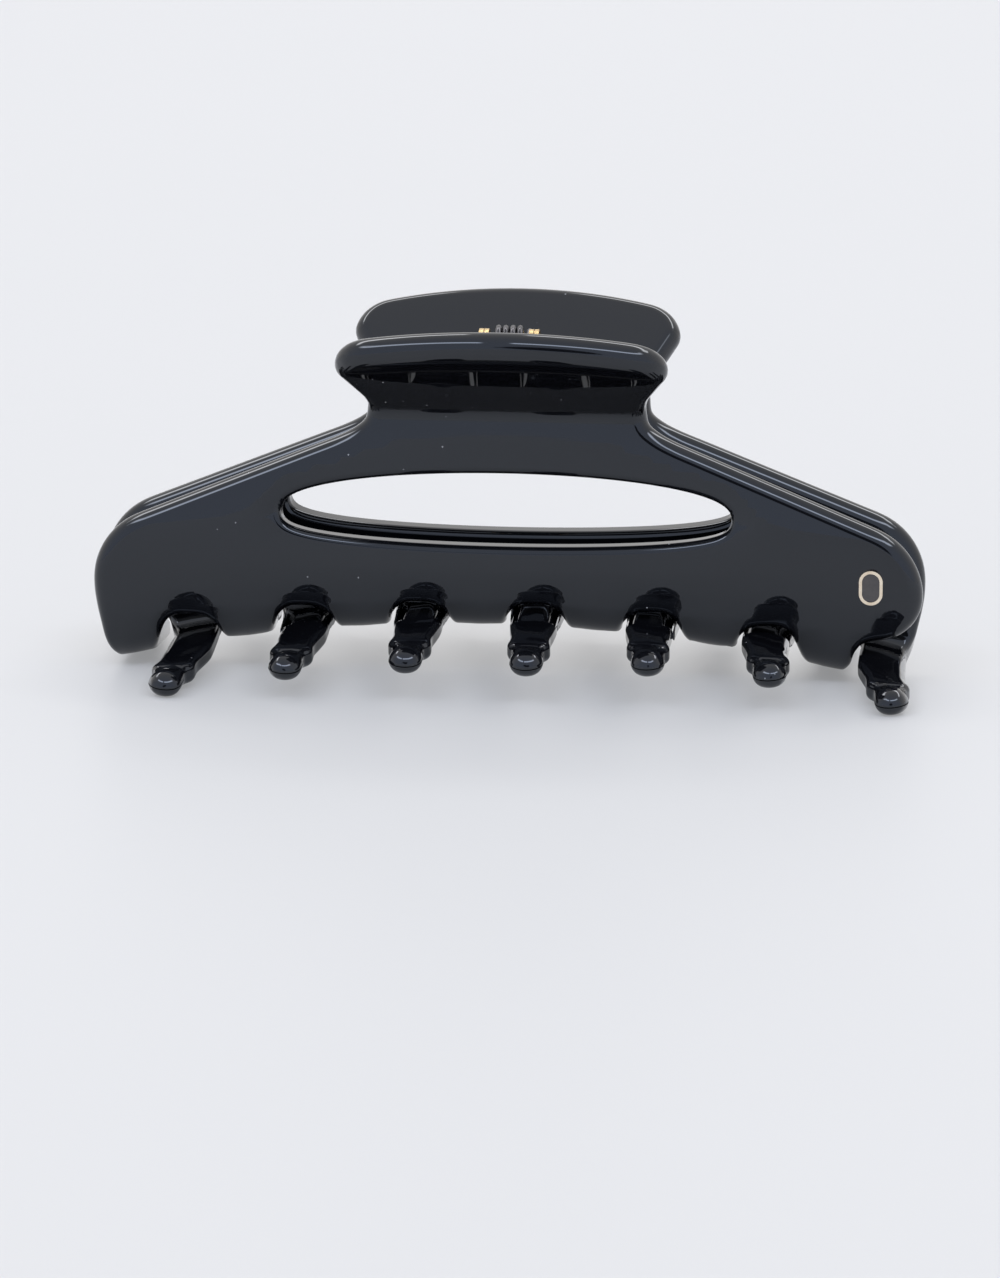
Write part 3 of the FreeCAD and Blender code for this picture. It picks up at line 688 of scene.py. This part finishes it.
def acetate():
    """Polished black sheet with a slight wave and a little dust."""
    n = Nodes("acetate")
    shader = n.shader
    shader.inputs["IOR"].default_value = 1.58
    # The specular tint paints a cool blue cast into all of the sheet's reflections.
    shader.inputs["Specular Tint"].default_value = (0.88, 0.93, 1.0, 1)
    dust = n.add("ShaderNodeTexVoronoi", Scale=420.0, Randomness=1.0)
    n.link(n.place, dust.inputs["Vector"])
    speck = n.spread(dust.outputs["Distance"], 0.02, 0.06, 1.0, 0.0)
    patch = n.spread(n.noise(90.0), 0.52, 0.64, 0.0, 1.0)
    both = n.add("ShaderNodeMath", operation="MULTIPLY")
    n.link(speck, both.inputs[0])
    n.link(patch, both.inputs[1])
    base = n.mix(both.outputs[0], (0.0035, 0.0037, 0.0050, 1), (0.62, 0.62, 0.64, 1))
    n.link(base, shader.inputs["Base Color"])
    rough = n.spread(n.noise(260.0, 4.0), 0.35, 0.75, 0.015, 0.045)
    n.link(rough, shader.inputs["Roughness"])
    n.bump(n.noise(60.0, 1.0), 0.02, 0.0001)
    return n.material


def metal(name, colour, dark, roughness, scale):
    """Plated or drawn metal with faint tarnish and fine scratches."""
    n = Nodes(name)
    n.shader.inputs["Metallic"].default_value = 1.0
    tarnish = n.spread(n.noise(scale, 5.0), 0.40, 0.70, 0.0, 1.0)
    n.link(n.mix(tarnish, colour, dark), n.shader.inputs["Base Color"])
    rough = n.spread(n.noise(scale * 3, 6.0), 0.3, 0.7, roughness * 0.6, roughness * 1.5)
    n.link(rough, n.shader.inputs["Roughness"])
    n.bump(n.noise(scale * 6, 4.0), 0.12, 0.00004)
    return n.material


def enamel():
    """Dark brown enamel under a clear coat."""
    n = Nodes("badge_enamel")
    n.shader.inputs["Roughness"].default_value = 0.12
    n.shader.inputs["Coat Weight"].default_value = 0.8
    base = n.mix(n.noise(900.0, 3.0), (0.055, 0.045, 0.042, 1), (0.02, 0.018, 0.02, 1))
    n.link(base, n.shader.inputs["Base Color"])
    n.bump(n.noise(1500.0), 0.1, 0.00003)
    return n.material


ACETATE = acetate()
GILT = metal("gilt", (0.87, 0.66, 0.34, 1), (0.72, 0.50, 0.24, 1), 0.22, 500.0)
STEEL = metal("steel", (0.74, 0.72, 0.69, 1), (0.55, 0.53, 0.50, 1), 0.30, 800.0)
WIRE = metal("spring_wire", (0.10, 0.10, 0.11, 1), (0.05, 0.05, 0.055, 1), 0.24, 900.0)
PALE_GOLD = metal("pale_gold", (0.93, 0.82, 0.66, 1), (0.80, 0.66, 0.50, 1), 0.18, 700.0)
ENAMEL = enamel()


# -------------------------------------------------------------------- pieces


def make_jaws():
    """Both sheets, the back one being the front one turned half round the Z axis."""
    vertices, faces, normals = build_sheet()
    front = add_mesh("front_jaw_sheet", vertices, faces, ACETATE, normals)
    turn = np.array([-1, -1, 1])
    back = add_mesh("back_jaw_sheet", vertices * turn, faces, ACETATE, normals * turn)
    for piece, body, node in ((front, "front_half", "front_jaw"), (back, "back_half", "back_jaw")):
        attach(piece, body)
        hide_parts(node)


def tube(points, radius, sides):
    """A round wire along a path with rounded ends."""
    points = np.asarray(points, float)
    tangents = np.gradient(points, axis=0)
    tangents /= np.linalg.norm(tangents, axis=1)[:, None]
    across = np.array([1.0, 0, 0])
    rings = []
    reach = [(-0.85, 0.45), (-0.5, 0.85)]
    stations = [(0, shift, scale) for shift, scale in reach]
    stations += [(i, 0.0, 1.0) for i in range(len(points))]
    stations += [(len(points) - 1, -shift, scale) for shift, scale in reach[::-1]]
    frames = []
    for tangent in tangents:
        across = across - tangent * across.dot(tangent)
        across = across / np.linalg.norm(across)
        frames.append((across, np.cross(tangent, across)))
    for index, shift, scale in stations:
        a, b = frames[index]
        centre = points[index] + tangents[index] * shift * radius
        for k in range(sides):
            angle = 2 * math.pi * k / sides
            rings.append(centre + (a * math.cos(angle) + b * math.sin(angle)) * radius * scale)
    faces = []
    for i in range(len(stations) - 1):
        for k in range(sides):
            a = i * sides + k
            b = i * sides + (k + 1) % sides
            faces.append((a, b, b + sides, a + sides))
    faces.append(tuple(range(sides))[::-1])
    faces.append(tuple(len(rings) - sides + k for k in range(sides)))
    return rings, faces


def coil_point(x, angle):
    return x, COIL_RADIUS * math.cos(angle), COIL_RADIUS * math.sin(angle)


def spring_path():
    """Leg, coil and leg, the legs lying on the two leaves."""
    to_face = CORNER_OUT * math.cos(FLARE) + CORNER_DROP * math.sin(FLARE) - HALF_THICK
    to_leaf = to_face - LEAF_THICK - WIRE_RADIUS - LEG_PLAY
    lean = math.asin(to_leaf / math.hypot(COIL_RADIUS, LEG_LENGTH))
    lean -= math.atan2(COIL_RADIUS, LEG_LENGTH)
    first = FLARE + math.pi + lean
    sweep = 3 * math.pi - 2 * first + 2 * math.pi * COIL_TURNS
    height = COIL_PITCH * sweep / (2 * math.pi)
    points = []
    for i in range(COIL_POINTS + 1):
        share = i / COIL_POINTS
        points.append(coil_point(height * (share - 0.5), first + sweep * share))
    legs = []
    for end, angle, sign in ((-1, first, -1), (1, first + sweep, 1)):
        root = np.array(coil_point(end * height / 2, angle))
        along = np.array([0, -math.sin(angle), math.cos(angle)]) * sign
        steps = range(1, LEG_POINTS + 1)
        legs.append([tuple(root + along * LEG_LENGTH * i / LEG_POINTS) for i in steps])
    return legs[0][::-1] + points + legs[1]


def make_spring():
    """The coil spring between the halves, as a single piece."""
    rings, faces = tube(np.array(spring_path()) + [0, 0, PIN_HEIGHT], WIRE_RADIUS, 20)
    spring = add_mesh("spring_coil", rings, faces, WIRE)
    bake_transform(spring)
    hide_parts("torsion_spring")


def finish_cad_nodes():
    """Materials and softened edges for the parts carried over from the frame."""
    finishes = {
        "front_hinge_leaf": (GILT, 0.16),
        "back_hinge_leaf": (GILT, 0.16),
        "front_leaf_screws": (STEEL, 0.30),
        "back_leaf_screws": (STEEL, 0.30),
        "hinge_pin": (GILT, 0.35),
        "pin_cap": (GILT, 0.45),
        "badge_frame": (PALE_GOLD, 0.14),
        "badge_enamel": (ENAMEL, 0.10),
    }
    for name, (material, width) in finishes.items():
        node = frame["nodes"][name]
        node.data.materials.clear()
        node.data.materials.append(material)
        bevel = node.modifiers.new("softened_edges", "BEVEL")
        bevel.width = width * MM
        bevel.segments = 4
        bevel.limit_method = "ANGLE"
        bevel.angle_limit = math.radians(35)
        bevel.harden_normals = False


# -------------------------------------------------------- floor, light, camera


def make_floor():
    """Pale paper that glows a little, as if lit from all round."""
    bpy.ops.mesh.primitive_plane_add(size=8.0, location=(0, 0, 0))
    floor = bpy.context.object
    floor.name = "floor"
    n = Nodes("floor_paper")
    base = n.mix(n.noise(3.0, 3.0), (0.39, 0.39, 0.39, 1), (0.41, 0.41, 0.41, 1))
    n.link(base, n.shader.inputs["Base Color"])
    n.shader.inputs["Roughness"].default_value = 0.45
    n.shader.inputs["Emission Color"].default_value = (0.97, 0.98, 1.0, 1)
    n.shader.inputs["Emission Strength"].default_value = 0.25
    n.shader.inputs["Specular IOR Level"].default_value = 0.3
    floor.data.materials.append(n.material)


def make_light():
    """A white tent with a bright ring high up and a dark opening for the camera.

    The ring is cut where it crosses two planes, which leaves four arcs.
    """
    world = bpy.data.worlds.new("tent")
    bpy.context.scene.world = world
    world.use_nodes = True
    tree = world.node_tree

    def ramp(source, low, high, to_low, to_high):
        node = tree.nodes.new("ShaderNodeMapRange")
        node.interpolation_type = "SMOOTHSTEP"
        set_range(node, low, high, to_low, to_high)
        tree.links.new(source, node.inputs["Value"])
        return node.outputs["Result"]

    def combine(operation, first, second):
        node = tree.nodes.new("ShaderNodeMath")
        node.operation = operation
        tree.links.new(first, node.inputs[0])
        tree.links.new(second, node.inputs[1])
        return node.outputs[0]

    place = tree.nodes.new("ShaderNodeTexCoord").outputs["Generated"]
    axes = tree.nodes.new("ShaderNodeSeparateXYZ")
    tree.links.new(place, axes.inputs[0])
    height = axes.outputs["Z"]
    walls = ramp(height, 0.1, 0.95, 0.88, 0.84)
    ring_from = ramp(height, 0.67, 0.74, 0.0, RING_STRENGTH)
    ring = combine("MULTIPLY", ring_from, ramp(height, 0.76, 0.82, 1.0, 0.0))
    depth = tree.nodes.new("ShaderNodeMath")
    depth.operation = "ABSOLUTE"
    tree.links.new(axes.outputs["Y"], depth.inputs[0])
    ring = combine("MULTIPLY", ring, ramp(depth.outputs[0], 0.12, 0.30, 0.0, 1.0))
    aside = tree.nodes.new("ShaderNodeMath")
    aside.operation = "ADD"
    aside.inputs[1].default_value = RING_GAP_X
    tree.links.new(axes.outputs["X"], aside.inputs[0])
    apart = tree.nodes.new("ShaderNodeMath")
    apart.operation = "ABSOLUTE"
    tree.links.new(aside.outputs[0], apart.inputs[0])
    ring = combine("MULTIPLY", ring, ramp(apart.outputs[0], 0.04, 0.07, 0.0, 1.0))
    facing = tree.nodes.new("ShaderNodeVectorMath")
    facing.operation = "DOT_PRODUCT"
    facing.inputs[1].default_value = CAMERA_WAY
    tree.links.new(place, facing.inputs[0])
    opening = ramp(facing.outputs["Value"], 0.975, 0.988, 1.0, 0.06)
    tint = tree.nodes.new("ShaderNodeMix")
    tint.data_type = "RGBA"
    tint.inputs[MIX_FIRST].default_value = (0.86, 0.94, 1.12, 1)
    tint.inputs[MIX_SECOND].default_value = (1.0, 0.985, 0.98, 1)
    tree.links.new(ramp(axes.outputs["Y"], -0.9, 0.5, 0.0, 1.0), tint.inputs["Factor"])
    background = tree.nodes["Background"]
    tree.links.new(tint.outputs[MIX_RESULT], background.inputs["Color"])
    light = combine("ADD", walls, ring)
    tree.links.new(combine("MULTIPLY", light, opening), background.inputs["Strength"])


def make_camera():
    """Fourteen degrees above the table and a little to the clip's right."""
    level = math.cos(CAMERA_ELEVATION)
    right = Vector((math.cos(CAMERA_TURN), math.sin(CAMERA_TURN), 0))
    ahead = Vector((
        -math.sin(CAMERA_TURN) * level,
        math.cos(CAMERA_TURN) * level,
        -math.sin(CAMERA_ELEVATION),
    ))
    up = right.cross(ahead)
    target = Vector((0, 0, PIN_HEIGHT - 1.0))
    place = target - ahead * CAMERA_DISTANCE - right * CAMERA_ACROSS - up * CAMERA_UP
    data = bpy.data.cameras.new("camera")
    data.sensor_fit = "VERTICAL"
    data.sensor_height = 36.0
    data.lens = CAMERA_LENS
    data.clip_start = 0.01
    data.clip_end = 30.0
    camera = bpy.data.objects.new("camera", data)
    rotation = Matrix((right, up, -ahead)).transposed()
    camera.matrix_world = Matrix.Translation(place * MM) @ rotation.to_4x4()
    bpy.context.scene.collection.objects.link(camera)
    bpy.context.scene.camera = camera


make_jaws()
make_spring()
finish_cad_nodes()
make_floor()
make_light()
make_camera()
bpy.context.scene.view_settings.view_transform = "Standard"
